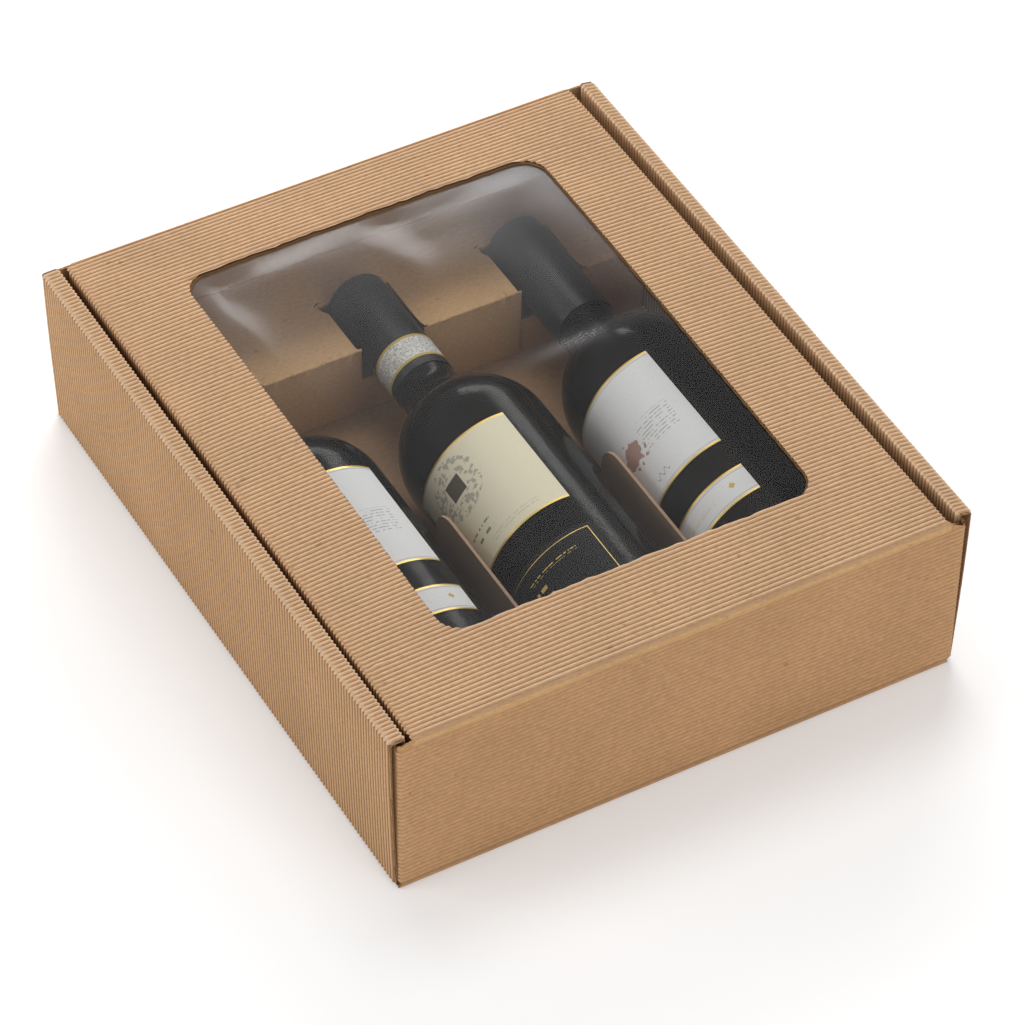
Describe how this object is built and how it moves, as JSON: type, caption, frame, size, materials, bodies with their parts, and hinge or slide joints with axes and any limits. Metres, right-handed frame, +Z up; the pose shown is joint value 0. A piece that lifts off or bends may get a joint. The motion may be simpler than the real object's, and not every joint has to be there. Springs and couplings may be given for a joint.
{
  "type": "bottle gift box",
  "caption": "Flat brown cardboard gift box with open flutes outside, a windowed lid hinged at one end, hollow rolled side walls and a card insert that holds wine bottles lying side by side.",
  "frame": {"origin": "centre of the base's underside", "axes": "+X across the bottles, +Y from the lid's hinge to the bottles' necks, +Z up"},
  "size_m": [0.2918, 0.34, 0.092],
  "materials": {
    "fluted_board": "matt brown board with open flutes",
    "smooth_card": "matt smooth brown card",
    "clear_film": "thin glossy clear film",
    "dark_glass": "glossy near-black glass",
    "black_foil": "satin black capsule",
    "white_paper": "matt white label paper",
    "cream_paper": "matt cream label paper",
    "black_paper": "satin black label paper"
  },
  "bodies": {
    "tray_body": {"tray": "fluted_board", "neck_rest": "smooth_card", "divider": "smooth_card", "bottle_left": "dark_glass", "bottle_middle": "dark_glass", "bottle_right": "dark_glass", "capsule_left": "black_foil", "capsule_middle": "black_foil", "capsule_right": "black_foil", "neck_band": "white_paper", "label_left": "white_paper", "label_middle": "cream_paper", "label_right": "white_paper", "strip_left": "white_paper", "strip_right": "white_paper", "lower_label": "black_paper", "back_label": "white_paper"},
    "lid_body": {"lid": "fluted_board", "window_film": "clear_film"}
  },
  "joints": [
    {"name": "lid_hinge", "type": "hinge", "parent": "tray_body", "child": "lid_body", "pos_m": [0, -0.1693, 0.0913], "axis": [1, 0, 0], "range_deg": [0, 180]}
  ]
}
